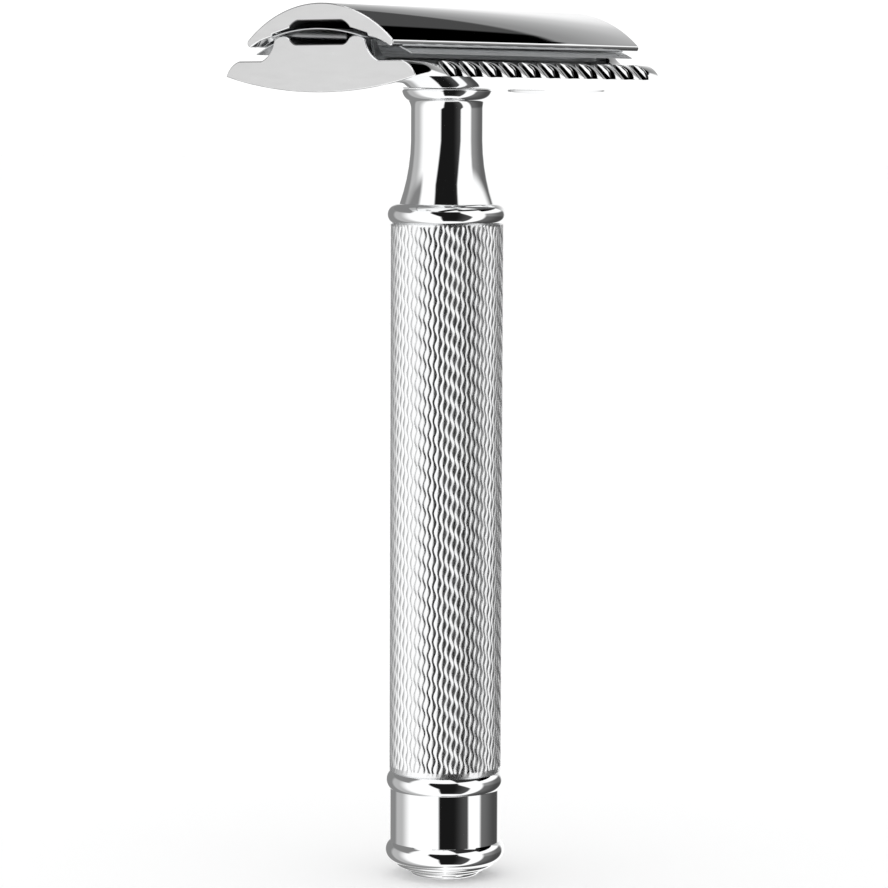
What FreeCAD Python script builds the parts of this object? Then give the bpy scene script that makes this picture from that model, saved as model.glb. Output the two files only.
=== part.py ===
"""Double-edge safety razor, three-piece kind, with a blade fitted.

Millimetres. The origin is the centre of the knob's foot, +Z runs up the handle and X runs along
the blade's edges. Each function makes one piece, and each piece is written as its own STEP file.
"""
import FreeCAD, Part
import math
import os

# Heights, from the foot of the knob to the crown of the cap
KNOB_TOP = 11.48
TUBE_TOP = 70.87
COLLAR_TOP = 73.0
NECK_TOP = 85.3
SEAT = 85.33
LUG_FLOOR = 84.8
BAR_TOP = 88.06
CHANNEL_FLOOR = 89.75
HUMP_TOP = 90.6
BLADE_TOP = 91.38
CHANNEL_ROOF = 92.17
CAP_TOP = 94.0

# Head
HEAD_LENGTH = 42.0
CAP_HALF_WIDTH = 9.9
CROWN_R = 14.7
CROWN_EDGE = 90.17
PLATE_HALF_WIDTH = 12.95
BAR_LIP = 86.45
BEVEL_FOOT = 86.55
BEVEL_START = 11.1
LUG_LENGTH = 1.9
LUG_STEP = 0.55

# Scalloped grooves in the two guard bars: each is part of a ring, bent with the rounded bevel
SLOT_COUNT = 11
SLOT_PITCH = 3.3
SLOT_SHIFT = 1.35
SLOT_R = 2.5
SLOT_BEND_R = 5.84
SLOT_DEPTH = 0.15

# Blade: the standard double-edge size, bent over the hump
BLADE_LENGTH = 42.9
BLADE_HALF_CHORD = 10.58
BLADE_THICKNESS = 0.1
BLADE_BEND_R = 23.5
EDGE_LENGTH = 37.7
TAB_HALF_WIDTH = 6.45
NOTCH_R = 1.2
TAB_CORNER_R = 0.6
WINDOW_GAP = 0.15
STUD_WINDOW_R = 2.9
PIN_WINDOW_R = 2.15

# Stud (an M5 x 0.8 thread, drawn plain) and the locating pins
STUD_R = 2.45
STUD_TOP = 93.0
STUD_BOTTOM = 76.0
STUD_CHAMFER = 0.5
STUD_BORE_R = 2.5
STUD_BORE_FLOOR = 74.5
PLATE_HOLE_R = 2.8
PIN_R = 1.4
PIN_OFFSET = 14.5
PIN_BOTTOM = 87.2
PIN_ROUND = 0.4
PIN_HOLE_R = 1.6

# Handle
TUBE_R = 6.05
TUBE_BORE_R = 5.3
SPIGOT_R = 5.25
HOLLOW_R = 4.4
NECK_SPIGOT_END = 65.0
NECK_HOLLOW_ROOF = 71.5
KNOB_SPIGOT_END = 17.0
KNOB_HOLLOW_FLOOR = 2.6
WAIST_R = 3.93


def across(y, z):
    return FreeCAD.Vector(0, y, z)


def radial(r, z):
    return FreeCAD.Vector(r, 0, z)


def outline(place, start, steps):
    """Edges from start through the steps. A step is an end point, or an arc's (middle, end)."""
    edges = []
    here = start
    for step in steps:
        if isinstance(step[0], tuple):
            middle, end = step
            edges.append(Part.Arc(place(*here), place(*middle), place(*end)).toShape())
        else:
            end = step
            edges.append(Part.LineSegment(place(*here), place(*end)).toShape())
        here = end
    return edges


def bar_of(start, steps, length):
    """Bar along X. Its section is a half outline from Y = 0 to Y = 0 and the mirror image."""
    half = outline(across, start, steps)
    other = [edge.mirror(FreeCAD.Vector(), FreeCAD.Vector(0, 1, 0)) for edge in half]
    section = Part.Face(Part.Wire(Part.__sortEdges__(half + other)))
    section.translate(FreeCAD.Vector(-length / 2, 0, 0))
    return section.extrude(FreeCAD.Vector(length, 0, 0))


def turned(start, steps):
    """Piece turned about Z, from a closed outline in (radius, height)."""
    edges = outline(radial, start, steps + [start])
    return Part.Face(Part.Wire(edges)).revolve(FreeCAD.Vector(), FreeCAD.Vector(0, 0, 1), 360)


def rod(radius, bottom, top, x=0.0, y=0.0):
    return Part.makeCylinder(radius, top - bottom, FreeCAD.Vector(x, y, bottom))


def block(x_size, y_size, bottom, top, x=0.0, y=0.0):
    corner = FreeCAD.Vector(x - x_size / 2, y - y_size / 2, bottom)
    return Part.makeBox(x_size, y_size, top - bottom, corner)


def top_cap():
    middle_y = CROWN_R * math.sin(math.asin(CAP_HALF_WIDTH / CROWN_R) / 2)
    middle_z = CAP_TOP - CROWN_R + math.sqrt(CROWN_R ** 2 - middle_y ** 2)
    section = [
        ((middle_y, middle_z), (CAP_HALF_WIDTH, CROWN_EDGE)),
        ((CAP_HALF_WIDTH, 89.7), (9.5, 89.5)),
        ((8.1, 90.15), (6.55, 90.55)),
        (6.45, 90.83),
        (4.15, 91.42),
        ((3.75, 91.8), (3.0, CHANNEL_ROOF)),
        (0.0, CHANNEL_ROOF),
    ]
    cap = bar_of((0.0, CAP_TOP), section, HEAD_LENGTH)
    sockets = [rod(STUD_R, CHANNEL_FLOOR, STUD_TOP)]
    for side in (-1, 1):
        sockets.append(rod(PIN_R, CHANNEL_FLOOR, STUD_TOP, side * PIN_OFFSET))
    return cap.cut(sockets)


def threaded_stud():
    return turned((0.0, STUD_TOP), [
        (STUD_R, STUD_TOP),
        (STUD_R, STUD_BOTTOM + STUD_CHAMFER),
        (STUD_R - STUD_CHAMFER, STUD_BOTTOM),
        (0.0, STUD_BOTTOM),
    ])


def locating_pin(side):
    pin = rod(PIN_R, PIN_BOTTOM, STUD_TOP, side * PIN_OFFSET)
    tip = [edge for edge in pin.Edges if abs(edge.CenterOfMass.z - PIN_BOTTOM) < 1e-6]
    return pin.makeFillet(PIN_ROUND, tip)


def upright_edges(solid, x, y):
    """The four edges parallel to Z at (+-x, +-y)."""
    found = []
    for edge in solid.Edges:
        middle = edge.CenterOfMass
        if abs(abs(middle.x) - x) < 1e-6 and abs(abs(middle.y) - y) < 1e-6:
            found.append(edge)
    return found


def blade():
    low, high = LUG_FLOOR, CAP_TOP
    plan = block(EDGE_LENGTH, 2 * BLADE_HALF_CHORD, low, high)
    plan = plan.fuse(block(BLADE_LENGTH, 2 * TAB_HALF_WIDTH, low, high)).removeSplitter()
    plan = plan.makeFillet(NOTCH_R, upright_edges(plan, EDGE_LENGTH / 2, TAB_HALF_WIDTH))
    plan = plan.makeFillet(TAB_CORNER_R, upright_edges(plan, BLADE_LENGTH / 2, TAB_HALF_WIDTH))

    slot_end = PIN_OFFSET + PIN_R
    slot_half = PIN_R + WINDOW_GAP
    window = [
        block(2 * slot_end, 2 * slot_half, low, high),
        rod(STUD_WINDOW_R, low, high),
    ]
    for side in (-1, 1):
        window.append(rod(slot_half, low, high, side * slot_end))
        window.append(rod(PIN_WINDOW_R, low, high, side * PIN_OFFSET))

    end = FreeCAD.Vector(-BLADE_LENGTH / 2, 0, BLADE_TOP - BLADE_BEND_R)
    along = FreeCAD.Vector(1, 0, 0)
    sheet = Part.makeCylinder(BLADE_BEND_R, BLADE_LENGTH, end, along)
    sheet = sheet.cut(Part.makeCylinder(BLADE_BEND_R - BLADE_THICKNESS, BLADE_LENGTH, end, along))
    return sheet.common(plan).cut(window)


def plate_section(inset):
    """Half outline of the plate, with the hump's side set in towards the middle by inset."""
    return [
        ((PLATE_HALF_WIDTH / 2, LUG_FLOOR + 0.4), (PLATE_HALF_WIDTH, BAR_LIP)),
        (PLATE_HALF_WIDTH, BEVEL_FOOT),
        ((12.24, 87.47), (BEVEL_START, BAR_TOP)),
        (8.0 - inset, BAR_TOP),
        ((6.75 - inset, 88.95), (6.2 - inset, 90.2)),
        ((5.8 - inset, 90.45), (5.1 - inset, HUMP_TOP)),
        ((4.35, 90.52), (3.95, 90.25)),
        ((3.6, 89.9), (3.0, CHANNEL_FLOOR)),
        (0.0, CHANNEL_FLOOR),
    ]


def guard_slot(x):
    """Cutter for one groove down the bevel of the -Y guard bar."""
    top = FreeCAD.Vector(x, -BEVEL_START, BAR_TOP)
    foot = FreeCAD.Vector(x, -PLATE_HALF_WIDTH, BEVEL_FOOT)
    half = (foot - top) * 0.5
    inward = FreeCAD.Vector(0, -half.z, half.y).normalize()
    sunk = math.sqrt((SLOT_BEND_R + SLOT_DEPTH) ** 2 - half.Length ** 2)
    centre = top + half + inward * sunk
    along = FreeCAD.Vector(1, 0, 0)
    ring = Part.makeTorus(SLOT_BEND_R + SLOT_R, SLOT_R, centre, along)
    return ring.common(block(2 * SLOT_R, 4.0, LUG_FLOOR, BAR_TOP + 2, x, top.y - 1.2))


def guard_slots():
    """Cutters for the -Y bar, and the same ones turned half a turn for the +Y bar."""
    first = SLOT_SHIFT - SLOT_PITCH * (SLOT_COUNT - 1) / 2
    near = [guard_slot(first + SLOT_PITCH * i) for i in range(SLOT_COUNT)]
    far = []
    for cutter in near:
        turned_cutter = cutter.copy()
        turned_cutter.rotate(FreeCAD.Vector(), FreeCAD.Vector(0, 0, 1), 180)
        far.append(turned_cutter)
    return near + far


def base_plate():
    floor = (0.0, LUG_FLOOR)
    plate = bar_of(floor, plate_section(0.0), HEAD_LENGTH)
    between_lugs = HEAD_LENGTH - 2 * LUG_LENGTH
    step = bar_of(floor, plate_section(0.0), between_lugs)
    step = step.cut(bar_of(floor, plate_section(LUG_STEP), between_lugs))

    holes = [
        rod(PLATE_HOLE_R, LUG_FLOOR - 1, CAP_TOP),
        block(between_lugs, 3 * PLATE_HALF_WIDTH, LUG_FLOOR - 1, SEAT),
    ]
    for side in (-1, 1):
        holes.append(rod(PIN_HOLE_R, LUG_FLOOR - 1, CAP_TOP, side * PIN_OFFSET))
    return plate.cut([step] + holes + guard_slots())


def neck():
    return turned((0.0, STUD_BORE_FLOOR), [
        (STUD_BORE_R, STUD_BORE_FLOOR),
        (STUD_BORE_R, NECK_TOP - 0.4),
        (STUD_BORE_R + 0.4, NECK_TOP),
        (4.75, NECK_TOP),
        ((4.87, 85.15), (4.86, 84.95)),
        ((4.6, 84.42), (4.2, 84.05)),
        ((4.0, 83.65), (WAIST_R, 83.1)),
        (WAIST_R, 79.8),
        ((4.33, 76.0), (5.15, COLLAR_TOP)),
        ((5.45, 73.03), (5.75, 72.93)),
        ((6.4, 72.05), (5.92, TUBE_TOP + 0.08)),
        (5.85, TUBE_TOP),
        (SPIGOT_R, TUBE_TOP),
        (SPIGOT_R, NECK_SPIGOT_END),
        (HOLLOW_R, NECK_SPIGOT_END),
        (HOLLOW_R, NECK_HOLLOW_ROOF),
        (0.0, NECK_HOLLOW_ROOF),
    ])


def grip_tube():
    return turned((TUBE_BORE_R, KNOB_TOP), [
        (TUBE_R, KNOB_TOP),
        (TUBE_R, TUBE_TOP),
        (TUBE_BORE_R, TUBE_TOP),
    ])


def end_cap():
    return turned((0.0, KNOB_HOLLOW_FLOOR), [
        (HOLLOW_R, KNOB_HOLLOW_FLOOR),
        (HOLLOW_R, KNOB_SPIGOT_END),
        (SPIGOT_R, KNOB_SPIGOT_END),
        (SPIGOT_R, KNOB_TOP),
        (5.85, KNOB_TOP),
        ((6.38, 10.5), (5.97, 9.47)),
        (5.97, 3.74),
        ((6.45, 2.55), (5.55, 1.5)),
        (5.4, 1.35),
        ((5.1, 1.0), (4.6, 0.9)),
        (4.5, 0.8),
        ((4.25, 0.55), (3.95, 0.47)),
        (3.85, 0.4),
        ((3.65, 0.12), (3.35, 0.0)),
        (0.0, 0.0),
    ])


PIECES = {
    "top_cap": top_cap,
    "threaded_stud": threaded_stud,
    "locating_pin_left": lambda: locating_pin(-1),
    "locating_pin_right": lambda: locating_pin(1),
    "blade": blade,
    "base_plate": base_plate,
    "neck": neck,
    "grip_tube": grip_tube,
    "end_cap": end_cap,
}


def main():
    os.makedirs("parts", exist_ok=True)
    for name, make in PIECES.items():
        piece = make()
        piece.exportStep("parts/" + name + ".step")
        print(f"{name}: {piece.ShapeType} valid {piece.isValid()} volume {piece.Volume:.1f} mm3")


main()
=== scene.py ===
"""Looks of a three-piece safety razor, laid out as an add-on and run as a script.

Metres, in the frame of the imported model: the foot of the knob is at the origin, +Z runs up the
handle and X runs along the blade's edges. Outlines are written in millimetres, as the model's are.
"""

import math

import bmesh
import bpy
from bpy.props import FloatProperty, FloatVectorProperty, IntProperty, PointerProperty
from mathutils import Matrix, Vector


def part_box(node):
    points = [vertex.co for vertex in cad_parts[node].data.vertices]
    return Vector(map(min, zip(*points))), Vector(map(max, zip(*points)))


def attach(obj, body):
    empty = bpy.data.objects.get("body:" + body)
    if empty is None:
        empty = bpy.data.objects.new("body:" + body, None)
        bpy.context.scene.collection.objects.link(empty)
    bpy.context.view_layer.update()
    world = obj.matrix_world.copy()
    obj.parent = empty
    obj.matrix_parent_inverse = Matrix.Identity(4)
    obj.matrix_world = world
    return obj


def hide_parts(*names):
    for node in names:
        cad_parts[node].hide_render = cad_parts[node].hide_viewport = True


bl_info = {
    "name": "Safety Razor",
    "version": (1, 0, 0),
    "blender": (4, 5, 0),
    "location": "3D View > Sidebar > Razor",
    "description": "Builds the pieces, finishes and studio of a three-piece safety razor",
    "category": "Add Mesh",
}

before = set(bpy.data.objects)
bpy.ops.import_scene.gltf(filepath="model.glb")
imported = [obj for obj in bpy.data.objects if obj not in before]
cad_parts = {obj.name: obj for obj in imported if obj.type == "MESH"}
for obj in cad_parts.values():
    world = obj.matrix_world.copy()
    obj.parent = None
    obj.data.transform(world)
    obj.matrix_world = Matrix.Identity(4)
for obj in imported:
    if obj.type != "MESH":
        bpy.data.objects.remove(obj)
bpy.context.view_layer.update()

MM = 0.001
TUBE_LOW, TUBE_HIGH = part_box("grip_tube")
CAP_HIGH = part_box("top_cap")[1]
PLATE_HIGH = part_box("base_plate")[1]
STUD_LOW, STUD_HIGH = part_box("threaded_stud")
NECK_LOW, NECK_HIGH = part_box("neck")
KNOB_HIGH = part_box("end_cap")[1]

# Outlines, in millimetres
SHORTEST_SEGMENT = 0.06
CHANNEL_HALF_WIDTH = 4.1
LUG_FLOOR = 84.8
SEAT = 85.33
LUG_LENGTH = 1.9
LUG_SLOPE = 0.1
LUG_STEP = 0.55
BAR_TOP = 88.06
BEVEL_START = 11.1
PLATE_HALF_WIDTH = 12.95
BAR_LIP = 86.45
GROOVE_FOOT = 86.55

# Engraved tube and stud, in metres
BORE_RADIUS = 0.0053
ROWS_PER_WAVE = 12
STUD_TIP = 0.0008
SHARP_CREASE = 40.0


# ---------------------------------------------------------------- settings

def length(name, description, default):
    return FloatProperty(name=name, description=description, default=default, unit="LENGTH",
                         precision=5)


def angle(name, description, degrees):
    return FloatProperty(name=name, description=description, default=math.radians(degrees),
                         subtype="ANGLE")


def colour(name, description, default):
    return FloatVectorProperty(name=name, description=description, default=default, size=3,
                               subtype="COLOR", min=0.0, max=1.0)


class HeadSettings(bpy.types.PropertyGroup):
    end_round: length("End rounding", "Radius on the edges of the two end faces", 0.00012)
    groove_count: IntProperty(name="Grooves", description="Grooves in each guard bar", default=11)
    groove_pitch: length("Groove pitch", "Distance from groove to groove", 0.0033)
    groove_shift: length("Groove shift", "Offset of the front bar's grooves along X", 0.00135)
    groove_radius: length("Groove radius", "Radius of a groove's round bottom", 0.0025)
    groove_bend: length("Groove bend", "Radius that a groove's bottom bends at", 0.00584)
    groove_depth: length("Groove depth", "Depth below the edges of the bevel", 0.00015)


class GripSettings(bpy.types.PropertyGroup):
    columns: IntProperty(name="Columns", description="Wavy grooves round the tube, a multiple "
                         "of four", default=64)
    wave_length: length("Wave length", "Height of one wave of a groove", 0.00198)
    wave_size: length("Wave size", "How far a groove swings to each side", 0.00014)
    groove_width: length("Groove width", "Width of a groove at the surface", 0.00036)
    groove_depth: length("Groove depth", "Depth of a groove", 0.00009)
    plain_top: length("Plain top", "Plain rim below the collar", 0.00012)
    plain_foot: length("Plain foot", "Plain rim above the knob", 0.0005)


class StudSettings(bpy.types.PropertyGroup):
    pitch: length("Thread pitch", "Lift of the thread in one turn", 0.0008)
    depth: length("Thread depth", "Height of the thread above its root", 0.00045)


class FinishSettings(bpy.types.PropertyGroup):
    chrome: colour("Chrome", "Reflected colour of the chrome plate", (0.93, 0.935, 0.94))
    satin: colour("Satin", "Reflected colour of the satin end faces", (0.70, 0.70, 0.70))
    steel: colour("Steel", "Reflected colour of the blade", (0.72, 0.73, 0.74))
    thread: colour("Thread", "Reflected colour of the stud and the pins", (0.78, 0.78, 0.79))


class StudioSettings(bpy.types.PropertyGroup):
    azimuth: angle("Camera azimuth", "Turn of the camera round the razor", -50.8)
    distance: length("Camera distance", "From the handle's axis, level", 0.404)
    height: length("Camera height", "Height of the camera above the foot", 0.08196)
    pitch: angle("Camera pitch", "How far the camera looks down", 4.935)
    pan: angle("Camera pan", "How far the camera looks aside", 0.035)
    roll: angle("Camera roll", "Tilt of the camera", 0.21)
    lens: FloatProperty(name="Lens", description="Focal length in millimetres", default=151.87)
    floor: colour("Floor", "Colour of the floor", (0.95, 0.95, 0.95))
    light: FloatProperty(name="Light", description="Brightness of the white room", default=1.12)


# ---------------------------------------------------------------- outlines and meshes

def arc_points(start, middle, end, step, count=0):
    """Points from start, left out, to end, on the circle through the three: count of them, or
    one every step of turn."""
    (ax, ay), (bx, by), (cx, cy) = start, middle, end
    d = 2 * (ax * (by - cy) + bx * (cy - ay) + cx * (ay - by))
    a2, b2, c2 = ax * ax + ay * ay, bx * bx + by * by, cx * cx + cy * cy
    ox = (a2 * (by - cy) + b2 * (cy - ay) + c2 * (ay - by)) / d
    oy = (a2 * (cx - bx) + b2 * (ax - cx) + c2 * (bx - ax)) / d
    radius = math.hypot(ax - ox, ay - oy)
    first = math.atan2(ay - oy, ax - ox)
    to_middle = (math.atan2(by - oy, bx - ox) - first) % math.tau
    sweep = (math.atan2(cy - oy, cx - ox) - first) % math.tau
    if to_middle > sweep:
        sweep -= math.tau
    fine = int(radius * abs(sweep) / SHORTEST_SEGMENT)
    count = count or max(3, min(fine, math.ceil(abs(sweep) / step)))
    turns = [first + sweep * i / count for i in range(1, count)]
    return [(ox + radius * math.cos(t), oy + radius * math.sin(t)) for t in turns] + [end]


def outline(start, steps, step=math.radians(4), count=0):
    """Points of an outline. A step is an end point, or an arc's (middle, end)."""
    points = [start]
    for item in steps:
        if isinstance(item[0], tuple):
            points += arc_points(points[-1], item[0], item[1], step, count)
        else:
            points.append(item)
    return points


def both_sides(half):
    """Closed outline of a half one, which starts and ends at Y = 0, and its mirror image."""
    return half + [(-y, z) for y, z in reversed(half[1:-1])]


def inset(points, amount):
    """A closed outline moved inwards by amount."""
    count = len(points)
    area = sum(points[i - 1][0] * points[i][1] - points[i][0] * points[i - 1][1]
               for i in range(count))
    side = 1 if area > 0 else -1
    moved = []
    for i, (x, y) in enumerate(points):
        before, after = points[i - 1], points[(i + 1) % count]
        a = Vector((x - before[0], y - before[1])).normalized()
        b = Vector((after[0] - x, after[1] - y)).normalized()
        normal = Vector((-(a.y + b.y), a.x + b.x))
        normal = normal.normalized() * side
        stretch = max(0.5, abs(Vector((-a.y, a.x)).dot(normal)))
        moved.append((x + normal.x * amount / stretch, y + normal.y * amount / stretch))
    return moved


def new_piece(name, verts, faces):
    """Mesh object from verts in metres, with outward normals and smooth shading."""
    mesh = bpy.data.meshes.new(name)
    mesh.from_pydata(verts, [], faces)
    piece = bpy.data.objects.new(name, mesh)
    bpy.context.scene.collection.objects.link(piece)
    tidy(piece)
    return piece


def tidy(piece, crease=30.0):
    """Merges doubles, turns the normals outwards and shades smooth up to the crease angle."""
    work = bmesh.new()
    work.from_mesh(piece.data)
    bmesh.ops.remove_doubles(work, verts=work.verts, dist=1e-7)
    bmesh.ops.recalc_face_normals(work, faces=work.faces)
    work.to_mesh(piece.data)
    work.free()
    piece.data.shade_smooth()
    piece.data.set_sharp_from_angle(angle=math.radians(crease))


def lathe(name, points, segments=192):
    """Solid turned about Z from a closed outline in (radius, height), in millimetres."""
    verts, rings = [], []
    for r, z in points:
        if r == 0.0:
            rings.append([len(verts)] * segments)
            verts.append((0.0, 0.0, z * MM))
            continue
        rings.append(range(len(verts), len(verts) + segments))
        for i in range(segments):
            t = math.tau * i / segments
            verts.append((r * math.cos(t) * MM, r * math.sin(t) * MM, z * MM))
    faces = []
    for k, ring in enumerate(rings):
        above = rings[(k + 1) % len(rings)]
        for i in range(segments):
            j = (i + 1) % segments
            corners = list(dict.fromkeys((ring[i], ring[j], above[j], above[i])))
            if len(corners) > 2:
                faces.append(corners)
    return new_piece(name, verts, faces)


def bar(name, stations):
    """Solid along X through (x, closed outline) stations, in millimetres."""
    verts, faces = [], []
    count = len(stations[0][1])
    for x, points in stations:
        verts += [(x * MM, y * MM, z * MM) for y, z in points]
    for k in range(len(stations) - 1):
        low, high = k * count, (k + 1) * count
        for i in range(count):
            j = (i + 1) % count
            faces.append((low + i, low + j, high + j, high + i))
    faces.append(tuple(range(count)))
    faces.append(tuple(range(len(verts) - count, len(verts))))
    return new_piece(name, verts, faces)


def end_stations(points, half, radius, side):
    """Stations that round one end of a bar, from its end face inwards."""
    found = []
    for turn in (0, 30, 60, 90):
        back = radius * (1 - math.cos(math.radians(turn)))
        into = radius * (1 - math.sin(math.radians(turn)))
        found.append((side * (half - back), inset(points, into) if into > 1e-9 else points))
    return found


def copy_of(node, name):
    """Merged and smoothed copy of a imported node."""
    piece = bpy.data.objects.new(name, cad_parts[node].data.copy())
    piece.data.materials.clear()
    bpy.context.scene.collection.objects.link(piece)
    tidy(piece)
    return piece


# ---------------------------------------------------------------- node trees

class Field:
    """A number in a node tree: arithmetic on it adds Math nodes."""

    def __init__(self, tree, socket):
        self.tree = tree
        self.socket = socket

    def math(self, operation, *others):
        node = self.tree.nodes.new("ShaderNodeMath")
        node.operation = operation
        for slot, value in zip(node.inputs, (self, *others)):
            if isinstance(value, Field):
                self.tree.links.new(value.socket, slot)
            else:
                slot.default_value = value
        return Field(self.tree, node.outputs[0])

    def __add__(self, other):
        return self.math("ADD", other)

    def __sub__(self, other):
        return self.math("SUBTRACT", other)

    def __mul__(self, other):
        return self.math("MULTIPLY", other)

    def __truediv__(self, other):
        return self.math("DIVIDE", other)


def piece_tree(name, inputs):
    """Geometry node tree, and a dict of its named inputs as fields or sockets."""
    tree = bpy.data.node_groups.new(name, "GeometryNodeTree")
    tree.interface.new_socket("Geometry", in_out="INPUT", socket_type="NodeSocketGeometry")
    for label, kind in inputs.items():
        tree.interface.new_socket(label, in_out="INPUT", socket_type="NodeSocket" + kind)
    tree.interface.new_socket("Geometry", in_out="OUTPUT", socket_type="NodeSocketGeometry")
    entry = tree.nodes.new("NodeGroupInput")
    given = {"Geometry": entry.outputs["Geometry"]}
    for label, kind in inputs.items():
        socket = entry.outputs[label]
        given[label] = Field(tree, socket) if kind in ("Float", "Int") else socket
    return tree, given


def add_node(tree, kind, inputs=(), **settings):
    """A node with its settings, and its inputs linked or set by name or number."""
    node = tree.nodes.new(kind)
    for key, value in settings.items():
        setattr(node, key, value)
    for key, value in dict(inputs).items():
        value = value.socket if isinstance(value, Field) else value
        if isinstance(value, bpy.types.NodeSocket):
            tree.links.new(value, node.inputs[key])
        else:
            node.inputs[key].default_value = value
    return node


def finish_tree(tree, geometry, material):
    """Ends a tree in Realize Instances and Set Material."""
    real = add_node(tree, "GeometryNodeRealizeInstances", {"Geometry": geometry})
    painted = add_node(tree, "GeometryNodeSetMaterial",
                       {"Geometry": real.outputs[0], "Material": material})
    end = tree.nodes.new("NodeGroupOutput")
    tree.links.new(painted.outputs[0], end.inputs[0])


def give_inputs(modifier, values):
    """Sets a geometry modifier's inputs through their sockets' identifiers."""
    for item in modifier.node_group.interface.items_tree:
        if item.in_out == "INPUT" and item.name in values:
            modifier[item.identifier] = values[item.name]


def grown(name, tree, values, base=None):
    """Plain mesh object that a tree makes, from a base mesh if one is given."""
    source = bpy.data.objects.new(name, base.data if base else bpy.data.meshes.new(name))
    bpy.context.scene.collection.objects.link(source)
    modifier = source.modifiers.new("Build", "NODES")
    modifier.node_group = tree
    give_inputs(modifier, values)
    graph = bpy.context.evaluated_depsgraph_get()
    mesh = bpy.data.meshes.new_from_object(source.evaluated_get(graph))
    bpy.data.objects.remove(source)
    if base:
        bpy.data.objects.remove(base)
    piece = bpy.data.objects.new(name, mesh)
    bpy.context.scene.collection.objects.link(piece)
    return piece


def wrapped_grid(tree, columns, rows):
    """Grid of columns by rows, and the column and row number of each of its points."""
    across = columns + 1.0
    up = rows + 1.0
    grid = add_node(tree, "GeometryNodeMeshGrid", {"Vertices X": across, "Vertices Y": up})
    index = Field(tree, tree.nodes.new("GeometryNodeInputIndex").outputs[0])
    column = (index / up + 0.0001).math("FLOOR")
    return grid.outputs["Mesh"], column, index - column * up


def place_on_axis(tree, geometry, turn, radius, height):
    """Sets each point's place from its turn about Z, radius and height, and closes the seams."""
    place = add_node(tree, "ShaderNodeCombineXYZ",
                     {"X": radius * turn.math("COSINE"), "Y": radius * turn.math("SINE"),
                      "Z": height})
    moved = add_node(tree, "GeometryNodeSetPosition",
                     {"Geometry": geometry, "Position": place.outputs[0]})
    merged = add_node(tree, "GeometryNodeMergeByDistance",
                      {"Geometry": moved.outputs[0], "Distance": 1e-7})
    return merged.outputs[0]


def chosen(tree, condition, when_true, otherwise):
    """when_true where the condition field is 1, and otherwise where it is 0."""
    return condition * (when_true - otherwise) + otherwise


def grip_tree():
    """Tube with wavy grooves up it, each a quarter of a wave behind its neighbour."""
    tree, given = piece_tree("engraved_tube", {
        "Radius": "Float", "Bore Radius": "Float", "Bottom": "Float", "Top": "Float",
        "Columns": "Int", "Wave Rows": "Int", "Wave Length": "Float", "Wave Size": "Float",
        "Groove Width": "Float", "Groove Depth": "Float", "Plain Foot": "Float",
        "Plain Top": "Float", "Material": "Material",
    })
    columns, rows = given["Columns"], given["Wave Rows"]
    points_per_column = 3.0
    extra_rows = 6.0
    total_rows = rows + extra_rows
    mesh, point, row = wrapped_grid(tree, columns * points_per_column, total_rows)
    column = (point / points_per_column + 0.0001).math("FLOOR")
    part = point - column * points_per_column

    low = given["Bottom"] + given["Plain Foot"]
    high = given["Top"] - given["Plain Top"]
    up = ((row - 3.0) / rows).math("MAXIMUM", 0.0).math("MINIMUM", 1.0)
    pattern_z = low + (high - low) * up
    phase = (pattern_z / given["Wave Length"]) * math.tau

    def groove_place(number):
        swing = (phase + number * (math.pi / 2)).math("COSINE") * given["Wave Size"]
        return number * pitch + swing

    pitch = given["Radius"] * math.tau / columns
    here = groove_place(column)
    after = groove_place(column + 1.0)
    half_groove = given["Groove Width"] / 2.0
    flank = half_groove.math("MINIMUM", (after - here) * 0.49)
    is_right = part.math("COMPARE", 1.0, 0.1)
    is_left = part.math("COMPARE", 2.0, 0.1)
    along = here + is_right * flank + is_left * (after - here - flank)
    side = chosen(tree, part.math("COMPARE", 0.0, 0.1), flank * 0.0, flank)
    sunk = given["Groove Depth"] * (side / half_groove * -1.0 + 1.0)
    inside = (row.math("GREATER_THAN", 2.5)) * (row * -1.0 + rows + 3.5).math("GREATER_THAN", 0.0)
    outer_radius = given["Radius"] - sunk * inside

    last = total_rows
    is_bore = row.math("LESS_THAN", 0.5) + (row - last + 1.5).math("GREATER_THAN", 0.0)
    along = chosen(tree, is_bore, point / points_per_column * pitch, along)
    radius = chosen(tree, is_bore, given["Bore Radius"], outer_radius)
    from_top = last - row
    at_top = from_top.math("LESS_THAN", 2.5) * from_top.math("GREATER_THAN", 0.5)
    at_foot = row.math("LESS_THAN", 1.5) + from_top.math("LESS_THAN", 0.5)
    height = chosen(tree, at_top, given["Top"], pattern_z)
    height = chosen(tree, at_foot, given["Bottom"], height)
    turn = along / given["Radius"]
    finish_tree(tree, place_on_axis(tree, mesh, turn, radius, height), given["Material"])
    return tree


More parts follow.
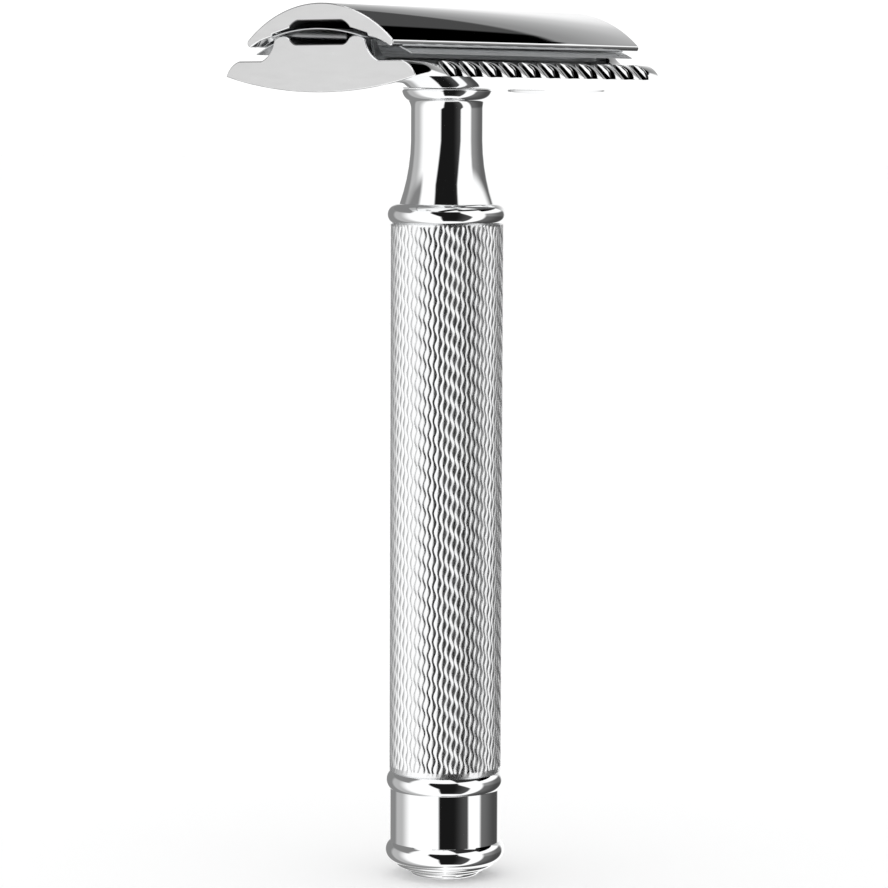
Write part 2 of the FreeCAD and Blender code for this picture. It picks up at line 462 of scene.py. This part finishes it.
def thread_tree():
    """Shaft with a helical thread that turns right-handed up it, closed at both ends."""
    tree, given = piece_tree("thread", {
        "Radius": "Float", "Depth": "Float", "Pitch": "Float", "Bottom": "Float",
        "Top": "Float", "Tip Length": "Float", "Segments": "Int", "Rows": "Int",
        "Material": "Material",
    })
    segments, rows = given["Segments"], given["Rows"]
    mesh, column, row = wrapped_grid(tree, segments, rows + 2.0)
    turn = column / segments * math.tau
    up = ((row - 1.0) / rows).math("MAXIMUM", 0.0).math("MINIMUM", 1.0)
    height = given["Bottom"] + (given["Top"] - given["Bottom"]) * up
    phase = (height / given["Pitch"] - column / segments).math("FRACT")
    ramp = ((phase - 0.5).math("ABSOLUTE") * 3.2 - 0.3).math("MAXIMUM", 0.0).math("MINIMUM", 1.0)
    tip = ((height - given["Bottom"]) / given["Tip Length"]).math("MINIMUM", 1.0)
    crest = given["Radius"] - given["Depth"] * (tip * -1.0 + 1.0)
    radius = crest - given["Depth"] * ramp * tip
    at_end = row.math("LESS_THAN", 0.5) + (row - rows - 1.5).math("GREATER_THAN", 0.0)
    radius = radius * (at_end * -1.0 + 1.0)
    finish_tree(tree, place_on_axis(tree, mesh, turn, radius, height), given["Material"])
    return tree


def grooved_bar_tree():
    """Cuts the base mesh with a row of cutters, the same row turned half a turn, and the holes."""
    tree, given = piece_tree("grooved_bars", {
        "Groove": "Object", "Holes": "Object", "Count": "Int", "Pitch": "Float",
        "Shift": "Float", "Material": "Material",
    })
    first = given["Shift"] - given["Pitch"] * (given["Count"] - 1.0) / 2.0
    start = add_node(tree, "ShaderNodeCombineXYZ", {"X": first})
    step = add_node(tree, "ShaderNodeCombineXYZ", {"X": given["Pitch"]})
    line = add_node(tree, "GeometryNodeMeshLine",
                    {"Count": given["Count"], "Start Location": start.outputs[0],
                     "Offset": step.outputs[0]})
    cutter = add_node(tree, "GeometryNodeObjectInfo", {"Object": given["Groove"]})
    row = add_node(tree, "GeometryNodeInstanceOnPoints",
                   {"Points": line.outputs[0], "Instance": cutter.outputs["Geometry"]})
    row = add_node(tree, "GeometryNodeRealizeInstances", {"Geometry": row.outputs[0]})
    turned = add_node(tree, "GeometryNodeTransform",
                      {"Geometry": row.outputs[0], "Rotation": (0.0, 0.0, math.pi)})
    holes = add_node(tree, "GeometryNodeObjectInfo", {"Object": given["Holes"]})
    body = given["Geometry"]
    for cut in (row.outputs[0], turned.outputs[0], holes.outputs["Geometry"]):
        boolean = add_node(tree, "GeometryNodeMeshBoolean", operation="DIFFERENCE",
                           solver="EXACT")
        boolean.inputs["Self Intersection"].default_value = True
        tree.links.new(body, boolean.inputs["Mesh 1"])
        tree.links.new(cut, boolean.inputs["Mesh 2"])
        body = boolean.outputs["Mesh"]
    finish_tree(tree, body, given["Material"])
    return tree


# ---------------------------------------------------------------- finishes

def metal(name, tint, roughness, grain, stretch=(1.0, 1.0, 1.0), bump=0.0, cloud=0.02):
    """Metal whose roughness, tint and surface vary a little over the piece."""
    material = bpy.data.materials.new(name)
    material.use_nodes = True
    tree = material.node_tree
    shader = tree.nodes["Principled BSDF"]
    shader.inputs["Metallic"].default_value = 1.0

    where = add_node(tree, "ShaderNodeTexCoord").outputs["Object"]
    stretched = add_node(tree, "ShaderNodeMapping", {"Vector": where, "Scale": stretch})
    fine = add_node(tree, "ShaderNodeTexNoise",
                    {"Vector": stretched.outputs[0], "Scale": grain, "Detail": 3.0})
    broad = add_node(tree, "ShaderNodeTexNoise", {"Vector": where, "Scale": 120.0, "Detail": 2.0})

    dark = tuple(channel * (1.0 - cloud) for channel in tint) + (1.0,)
    mix = add_node(tree, "ShaderNodeMix",
                   {"Factor": broad.outputs["Fac"], 6: dark, 7: (*tint, 1.0)}, data_type="RGBA")
    tree.links.new(mix.outputs[2], shader.inputs["Base Color"])
    rough = add_node(tree, "ShaderNodeMapRange",
                     {"Value": fine.outputs["Fac"], "To Min": roughness * 0.7,
                      "To Max": roughness * 1.3})
    tree.links.new(rough.outputs[0], shader.inputs["Roughness"])
    if bump:
        dent = add_node(tree, "ShaderNodeBump",
                        {"Height": fine.outputs["Fac"], "Strength": bump, "Distance": 2e-5})
        tree.links.new(dent.outputs[0], shader.inputs["Normal"])
    return material


def finish(name):
    """One of the razor's finishes, or the painted shade of the channel, made when it is first
    asked for.
    """
    found = bpy.data.materials.get(name)
    if found:
        return found
    tints = bpy.context.scene.razor_finish
    along_x = (0.02, 1.0, 1.0)
    if name == "polished_chrome":
        return metal(name, tuple(tints.chrome), 0.035, 900.0)
    if name == "engraved_chrome":
        return metal(name, tuple(tints.chrome), 0.27, 900.0)
    if name == "satin_chrome":
        return metal(name, tuple(tints.satin), 0.32, 2500.0, (1.0, 0.15, 1.0), 0.15)
    # Painted shade: a dark, rough chrome that stands in for the shade inside the channel.
    if name == "painted_shade_channel":
        return metal(name, (0.22, 0.22, 0.22), 0.5, 2500.0)
    if name == "blade_steel":
        return metal(name, tuple(tints.steel), 0.16, 3000.0, along_x, 0.2, 0.06)
    if name == "turned_steel":
        return metal(name, tuple(tints.thread), 0.12, 2000.0, (1.0, 1.0, 0.3), 0.1, 0.05)
    raise ValueError("no finish is called " + name)


def paint(piece, name):
    piece.data.materials.clear()
    piece.data.materials.append(finish(name))


def satin_ends(piece, way):
    """Gives the two end faces of a bar along X their satin finish, and paints shade on the channel
    along its middle, which faces up or down as way is 1 or -1, with a dark, rough chrome."""
    piece.data.materials.append(finish("satin_chrome"))
    piece.data.materials.append(finish("painted_shade_channel"))
    for face in piece.data.polygons:
        if abs(face.normal.x) > 0.999:
            face.material_index = 1
            face.use_smooth = False
        # Painted shade: the channel along the middle gets the dark chrome that stands in for its
        # shade.
        elif abs(face.center.y) < CHANNEL_HALF_WIDTH * MM and face.normal.z * way > 0.1:
            face.material_index = 2


def settle(piece, body, slot, *nodes):
    """Stands the piece in for its nodes, on its body. The slot is not used."""
    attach(piece, body)
    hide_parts(*nodes)


# ---------------------------------------------------------------- the pieces

class RAZOR_OT_cap(bpy.types.Operator):
    """Makes the curved cap, with the channel along its underside"""
    bl_idname = "razor.cap"
    bl_label = "Cap"

    def execute(self, context):
        head = context.scene.razor_head
        half_width, top = 9.9, CAP_HIGH.z / MM
        crown_r, crown_edge = 14.7, 90.17
        middle_y = crown_r * math.sin(math.asin(half_width / crown_r) / 2)
        middle_z = top - crown_r + math.sqrt(crown_r ** 2 - middle_y ** 2)
        half = outline((0.0, top), [
            ((middle_y, middle_z), (half_width, crown_edge)),
            ((half_width, 89.7), (9.5, 89.5)),
            ((8.1, 90.15), (6.55, 90.55)),
            (6.45, 90.83),
            (4.15, 91.42),
            ((3.75, 91.8), (3.0, 92.17)),
            (0.0, 92.17),
        ], math.radians(1.5))
        section = both_sides(half)
        half_length = CAP_HIGH.x / MM
        radius = head.end_round / MM
        stations = end_stations(section, half_length, radius, -1)
        stations += reversed(end_stations(section, half_length, radius, 1))
        piece = bar("cap_shell", stations)
        paint(piece, "polished_chrome")
        satin_ends(piece, -1)
        settle(piece, "cap", "head_chrome", "top_cap")
        return {"FINISHED"}


def plate_section(step, floor):
    """Closed outline of the plate, with the hump's sides set in by step and nothing below
    the floor."""
    points = both_sides(outline((0.0, LUG_FLOOR), [
        ((3.735, 84.93), (7.47, SEAT)),
        ((10.24, 85.8), (PLATE_HALF_WIDTH, BAR_LIP)),
        ((12.24, 87.47), (BEVEL_START, BAR_TOP)),
        (8.0 - step, BAR_TOP),
        ((6.75 - step, 88.95), (6.2 - step, 90.2)),
        ((5.8 - step, 90.45), (5.1 - step, 90.6)),
        ((4.35, 90.52), (3.95, 90.25)),
        ((3.6, 89.9), (3.0, 89.75)),
        (0.0, 89.75),
    ], count=12))
    return [(y, max(z, floor)) for y, z in points]


def groove_cutter(head):
    """Cutter of one groove in the -Y bar, at X = 0: part of a ring, bent with the bevel."""
    top = Vector((0, -BEVEL_START, BAR_TOP))
    foot = Vector((0, -PLATE_HALF_WIDTH, GROOVE_FOOT))
    half = (foot - top) / 2
    out = Vector((0, half.z, -half.y)).normalized()
    radius, bend = head.groove_radius / MM, head.groove_bend / MM
    sunk = math.sqrt((bend + head.groove_depth / MM) ** 2 - half.length ** 2)
    centre = top + half - out * sunk
    reach = math.asin(0.47 * head.groove_pitch / head.groove_radius)
    count, rows, spread = 32, 24, math.radians(26)
    turns = [reach * (2 * i / count - 1) for i in range(count + 1)]
    profile = [(radius * math.sin(t), bend + radius * (1 - math.cos(t))) for t in turns]
    profile += [(profile[-1][0], bend + radius), (profile[0][0], bend + radius)]
    verts, faces = [], []
    size = len(profile)
    for k in range(rows + 1):
        way = Matrix.Rotation(spread * (2 * k / rows - 1), 3, "X") @ out
        verts += [(centre + way * h + Vector((x, 0, 0))) * MM for x, h in profile]
    for k in range(rows):
        low, high = k * size, (k + 1) * size
        for i in range(size):
            j = (i + 1) % size
            faces.append((low + i, low + j, high + j, high + i))
    faces += [tuple(range(size)), tuple(range(rows * size, (rows + 1) * size))]
    return new_piece("groove_cutter", verts, faces)


def hole_cutter():
    """Cutter of the plate's three holes."""
    verts, faces = [], []
    segments = 64
    for x, r in ((0.0, 2.8), (-14.5, 1.6), (14.5, 1.6)):
        low = len(verts)
        high = low + segments
        for z in (84.0, 92.0):
            for i in range(segments):
                t = math.tau * i / segments
                verts.append(((x + r * math.cos(t)) * MM, r * math.sin(t) * MM, z * MM))
        for i in range(segments):
            j = (i + 1) % segments
            faces.append((low + i, low + j, high + j, high + i))
        faces += [tuple(range(low, high)), tuple(range(high, high + segments))]
    return new_piece("hole_cutter", verts, faces)


class RAZOR_OT_base_plate(bpy.types.Operator):
    """Makes the base plate, with its hump, its guard bars and their grooves"""
    bl_idname = "razor.base_plate"
    bl_label = "Base Plate"

    def execute(self, context):
        head = context.scene.razor_head
        full, waist = plate_section(0.0, LUG_FLOOR), plate_section(LUG_STEP, SEAT)
        half_length = PLATE_HIGH.x / MM
        radius = head.end_round / MM
        lug, slope = half_length - LUG_LENGTH, LUG_SLOPE
        stations = end_stations(full, half_length, radius, -1)
        stations += [(-lug, full), (-lug + slope, waist), (lug - slope, waist), (lug, full)]
        stations += reversed(end_stations(full, half_length, radius, 1))
        blank = bar("plate_blank", stations)
        groove, holes = groove_cutter(head), hole_cutter()
        piece = grown("guard_plate", grooved_bar_tree(), {
            "Groove": groove, "Holes": holes, "Count": head.groove_count,
            "Pitch": head.groove_pitch, "Shift": head.groove_shift,
            "Material": finish("polished_chrome"),
        }, blank)
        for cutter in (groove, holes):
            bpy.data.objects.remove(cutter)
        tidy(piece)
        paint(piece, "polished_chrome")
        satin_ends(piece, 1)
        settle(piece, "plate", "head_chrome", "base_plate")
        return {"FINISHED"}


class RAZOR_OT_blade(bpy.types.Operator):
    """Makes the bent blade"""
    bl_idname = "razor.blade"
    bl_label = "Blade"

    def execute(self, context):
        piece = copy_of("blade", "bent_blade")
        paint(piece, "blade_steel")
        settle(piece, "blade", "blade_steel", "blade")
        return {"FINISHED"}


class RAZOR_OT_stud_and_pins(bpy.types.Operator):
    """Makes the threaded stud and the two locating pins"""
    bl_idname = "razor.stud_and_pins"
    bl_label = "Stud and Pins"

    def execute(self, context):
        stud = context.scene.razor_stud
        piece = grown("stud_thread", thread_tree(), {
            "Radius": STUD_HIGH.x, "Depth": stud.depth, "Pitch": stud.pitch,
            "Bottom": STUD_LOW.z, "Top": STUD_HIGH.z, "Tip Length": STUD_TIP,
            "Segments": 48, "Rows": 212, "Material": finish("turned_steel"),
        })
        tidy(piece, SHARP_CREASE)
        settle(piece, "cap", "stud_steel", "threaded_stud")
        for side in ("left", "right"):
            node = "locating_pin_" + side
            pin = copy_of(node, "pin_" + side)
            paint(pin, "turned_steel")
            settle(pin, "cap", "stud_steel", node)
        return {"FINISHED"}


class RAZOR_OT_neck(bpy.types.Operator):
    """Makes the flange, the waisted neck and the collar bead"""
    bl_idname = "razor.neck"
    bl_label = "Neck"

    def execute(self, context):
        top, foot = NECK_HIGH.z / MM, NECK_LOW.z / MM
        tube_top = TUBE_HIGH.z / MM
        points = outline((0.0, 74.5), [
            (2.5, 74.5),
            (2.5, top - 0.4),
            (2.9, top),
            (4.75, top),
            ((4.87, 85.15), (4.86, 84.95)),
            ((4.6, 84.42), (4.2, 84.05)),
            ((4.0, 83.65), (3.93, 83.1)),
            (3.93, 79.8),
            ((4.33, 76.0), (5.15, 73.0)),
            ((5.45, 73.03), (5.75, 72.93)),
            ((6.4, 72.05), (5.92, tube_top + 0.08)),
            (5.85, tube_top),
            (5.25, tube_top),
            (5.25, foot),
            (4.4, foot),
            (4.4, 71.5),
            (0.0, 71.5),
        ])
        piece = lathe("neck_collar", points)
        paint(piece, "polished_chrome")
        settle(piece, "handle", "handle_chrome", "neck")
        return {"FINISHED"}


class RAZOR_OT_grip(bpy.types.Operator):
    """Makes the engraved tube"""
    bl_idname = "razor.grip"
    bl_label = "Grip"

    def execute(self, context):
        grip = context.scene.razor_grip
        span = TUBE_HIGH.z - TUBE_LOW.z - grip.plain_top - grip.plain_foot
        rows = round(span / grip.wave_length * ROWS_PER_WAVE)
        piece = grown("engraved_grip", grip_tree(), {
            "Radius": TUBE_HIGH.x, "Bore Radius": BORE_RADIUS, "Bottom": TUBE_LOW.z,
            "Top": TUBE_HIGH.z, "Columns": grip.columns, "Wave Rows": rows,
            "Wave Length": grip.wave_length, "Wave Size": grip.wave_size,
            "Groove Width": grip.groove_width, "Groove Depth": grip.groove_depth,
            "Plain Foot": grip.plain_foot, "Plain Top": grip.plain_top,
            "Material": finish("engraved_chrome"),
        })
        tidy(piece, SHARP_CREASE)
        settle(piece, "handle", "handle_chrome", "grip_tube")
        return {"FINISHED"}


class RAZOR_OT_knob(bpy.types.Operator):
    """Makes the knob, with its two beads, plain band and stepped foot"""
    bl_idname = "razor.knob"
    bl_label = "Knob"

    def execute(self, context):
        top = TUBE_LOW.z / MM
        spigot_end = KNOB_HIGH.z / MM
        points = outline((0.0, 2.6), [
            (4.4, 2.6),
            (4.4, spigot_end),
            (5.25, spigot_end),
            (5.25, top),
            (5.85, top),
            ((6.38, 10.5), (5.97, 9.47)),
            (5.97, 3.74),
            ((6.45, 2.55), (5.55, 1.5)),
            (5.4, 1.35),
            ((5.1, 1.0), (4.6, 0.9)),
            (4.5, 0.8),
            ((4.25, 0.55), (3.95, 0.47)),
            (3.85, 0.4),
            ((3.65, 0.12), (3.35, 0.0)),
            (0.0, 0.0),
        ])
        piece = lathe("knob", points)
        paint(piece, "polished_chrome")
        settle(piece, "handle", "handle_chrome", "end_cap")
        return {"FINISHED"}


# ---------------------------------------------------------------- the studio

def smooth(value, low, high):
    """0 below low, 1 above high, and a smooth step between."""
    node = add_node(value.tree, "ShaderNodeMapRange",
                    {"Value": value, "From Min": low, "From Max": high},
                    interpolation_type="SMOOTHSTEP")
    return Field(value.tree, node.outputs[0])


def facing(turn, centre, half, soft):
    """1 within half of the centre azimuth, falling to 0 over soft degrees."""
    apart = ((turn - centre + 540.0).math("FLOORED_MODULO", 360.0) - 180.0).math("ABSOLUTE")
    return smooth(apart, half - soft / 2, half + soft / 2) * -1.0 + 1.0


def within(rise, low, high, soft):
    """1 between two elevations, with edges soft degrees wide."""
    up = smooth(rise, low - soft / 2, low + soft / 2)
    return up * (smooth(rise, high - soft / 2, high + soft / 2) * -1.0 + 1.0)


def laid_over(below, shade, where):
    """The shade where the mask is 1, and what is below it where the mask is 0."""
    return below + (below * -1.0 + shade) * where


def ramp(value, stops):
    """Value of a curve of straight runs through its stops, at a field's value."""
    node = add_node(value.tree, "ShaderNodeFloatCurve", {"Value": value / 90.0})
    curve = node.mapping.curves[0]
    node.mapping.use_clip = False
    while len(curve.points) < len(stops):
        curve.points.new(0.5, 0.5)
    for point, (place, level) in zip(curve.points, stops):
        point.location = (place / 90.0, level)
        point.handle_type = "VECTOR"
    node.mapping.update()
    return Field(value.tree, node.outputs[0])


# Brightness, azimuth (centre, half width, softness) and elevation (low, high, softness)
ROOM_SCREENS = (
    (0.07, (28.0, 87.0, 10.0), (33.7, 56.0, 1.5)),
    (0.0, (-22.0, 37.0, 2.0), (33.7, 55.0, 1.5)),
    (0.03, (0.0, 100.0, 10.0), (70.0, 95.0, 3.0)),
    (0.03, (285.0, 38.0, 6.0), (45.0, 95.0, 3.0)),
    (0.50, (96.0, 33.0, 30.0), (-95.0, 20.0, 10.0)),
    (0.26, (72.0, 22.0, 12.0), (-95.0, 20.0, 10.0)),
    (0.24, (95.0, 48.0, 12.0), (17.0, 57.0, 8.0)),
)


def room_light(tree, white):
    """Brightness that the metal reflects, by azimuth and elevation: a white room with a graded
    panel, dark beams and screens, and grey walls."""
    way = add_node(tree, "ShaderNodeTexCoord").outputs["Generated"]
    split = add_node(tree, "ShaderNodeSeparateXYZ", {"Vector": way})
    x, y, z = (Field(tree, split.outputs[i]) for i in range(3))
    turn = y.math("ARCTAN2", x).math("DEGREES")
    rise = z.math("MINIMUM", 1.0).math("MAXIMUM", -1.0).math("ARCSINE").math("DEGREES")
    light = turn * 0.0 + white

    stops = ((0.0, 1.0), (10.0, 1.0), (14.0, 0.88), (16.0, 0.80), (19.0, 0.65), (22.0, 0.56),
             (25.0, 0.45), (27.0, 0.40), (29.0, 0.35), (31.0, 0.30), (33.0, 0.28), (90.0, 0.28))
    panel = facing(turn, 32.0, 34.0, 8.0) * within(rise, 5.0, 58.0, 3.0)
    light = laid_over(light, ramp(rise, stops), panel)
    for level, (centre, half, side_soft), (low, high, end_soft) in ROOM_SCREENS:
        screen = facing(turn, centre, half, side_soft) * within(rise, low, high, end_soft)
        light = laid_over(light, level, screen)

    right = facing(turn, 332.0, 33.0, 9.0) * within(rise, -95.0, 15.0, 8.0)
    shade = smooth((turn + 360.0).math("FLOORED_MODULO", 360.0), 300.0, 345.0) * -0.17 + 0.31
    shade = shade * (smooth(rise, -12.0, 0.0) * 0.5 + 0.5)
    light = laid_over(light, shade, right)

    slanted = turn + rise.math("MINIMUM", 25.0).math("MAXIMUM", -12.0) * 0.6
    dark = facing(slanted, 231.5, 31.5, 6.0) * within(rise, -62.0, 39.0, 6.0)
    shade = smooth((turn + 360.0).math("FLOORED_MODULO", 360.0), 236.0, 268.0) * 0.07 + 0.01
    return laid_over(light, shade, dark)


class RAZOR_OT_studio(bpy.types.Operator):
    """Makes the floor, the white room with its screens, and the camera"""
    bl_idname = "razor.studio"
    bl_label = "Studio"

    def execute(self, context):
        studio = context.scene.razor_studio
        self.floor(studio)
        self.room(context.scene, studio)
        self.camera(context.scene, studio)
        return {"FINISHED"}

    def floor(self, studio):
        size = 6.0
        mesh = bpy.data.meshes.new("floor")
        corners = [(-size, -size, 0), (size, -size, 0), (size, size, 0), (-size, size, 0)]
        mesh.from_pydata(corners, [], [(0, 1, 2, 3)])
        ground = bpy.data.objects.new("floor", mesh)
        bpy.context.scene.collection.objects.link(ground)
        material = bpy.data.materials.new("floor_paper")
        material.use_nodes = True
        shader = material.node_tree.nodes["Principled BSDF"]
        shader.inputs["Base Color"].default_value = (*studio.floor, 1.0)
        shader.inputs["Roughness"].default_value = 0.9
        mesh.materials.append(material)
        ground.visible_glossy = False

    def room(self, scene, studio):
        world = bpy.data.worlds.new("white_room")
        world.use_nodes = True
        world.cycles.sampling_method = "NONE"
        tree = world.node_tree
        tree.nodes.clear()
        plain = add_node(tree, "ShaderNodeBackground", {"Strength": studio.light})
        plain.inputs["Color"].default_value = (1, 1, 1, 1)
        screens = add_node(tree, "ShaderNodeBackground",
                           {"Strength": room_light(tree, studio.light)})
        screens.inputs["Color"].default_value = (1, 1, 1, 1)
        ray = tree.nodes.new("ShaderNodeLightPath")
        mix = add_node(tree, "ShaderNodeMixShader",
                       {0: ray.outputs["Is Glossy Ray"], 1: plain.outputs[0],
                        2: screens.outputs[0]})
        end = tree.nodes.new("ShaderNodeOutputWorld")
        tree.links.new(mix.outputs[0], end.inputs["Surface"])
        scene.world = world
        scene.view_settings.view_transform = "Standard"

    def camera(self, scene, studio):
        turn = studio.azimuth
        place = Vector((math.sin(turn) * studio.distance, -math.cos(turn) * studio.distance,
                        studio.height))
        yaw = turn + studio.pan
        level, drop = math.cos(studio.pitch), math.sin(studio.pitch)
        forward = Vector((-math.sin(yaw) * level, math.cos(yaw) * level, -drop))
        right = Vector((math.cos(yaw), math.sin(yaw), 0.0))
        up = right.cross(forward)
        roll = Matrix.Rotation(-studio.roll, 3, forward)
        right, up = roll @ right, roll @ up
        data = bpy.data.cameras.new("camera")
        data.lens = studio.lens
        data.sensor_width = 36.0
        data.clip_start = 0.01
        view = bpy.data.objects.new("camera", data)
        axes = Matrix((right, up, -forward)).transposed().to_4x4()
        view.matrix_world = Matrix.Translation(place) @ axes
        scene.collection.objects.link(view)
        scene.camera = view


OPERATORS = (
    RAZOR_OT_cap, RAZOR_OT_base_plate, RAZOR_OT_blade, RAZOR_OT_stud_and_pins, RAZOR_OT_neck,
    RAZOR_OT_grip, RAZOR_OT_knob, RAZOR_OT_studio,
)


class RAZOR_PT_sidebar(bpy.types.Panel):
    """Lists the razor's pieces and its studio"""
    bl_idname = "RAZOR_PT_sidebar"
    bl_label = "Safety Razor"
    bl_space_type = "VIEW_3D"
    bl_region_type = "UI"
    bl_category = "Razor"

    def draw(self, context):
        for operator in OPERATORS:
            self.layout.operator(operator.bl_idname)


SETTINGS = {
    "razor_head": HeadSettings, "razor_grip": GripSettings, "razor_stud": StudSettings,
    "razor_finish": FinishSettings, "razor_studio": StudioSettings,
}


def register():
    for cls in (*SETTINGS.values(), *OPERATORS, RAZOR_PT_sidebar):
        bpy.utils.register_class(cls)
    for name, cls in SETTINGS.items():
        setattr(bpy.types.Scene, name, PointerProperty(type=cls))


def unregister():
    for name in SETTINGS:
        delattr(bpy.types.Scene, name)
    for cls in reversed((*SETTINGS.values(), *OPERATORS, RAZOR_PT_sidebar)):
        bpy.utils.unregister_class(cls)


def main():
    register()
    bpy.ops.razor.studio()
    bpy.ops.razor.cap()
    bpy.ops.razor.base_plate()
    bpy.ops.razor.blade()
    bpy.ops.razor.stud_and_pins()
    bpy.ops.razor.neck()
    bpy.ops.razor.grip()
    bpy.ops.razor.knob()


if __name__ == "__main__":
    main()
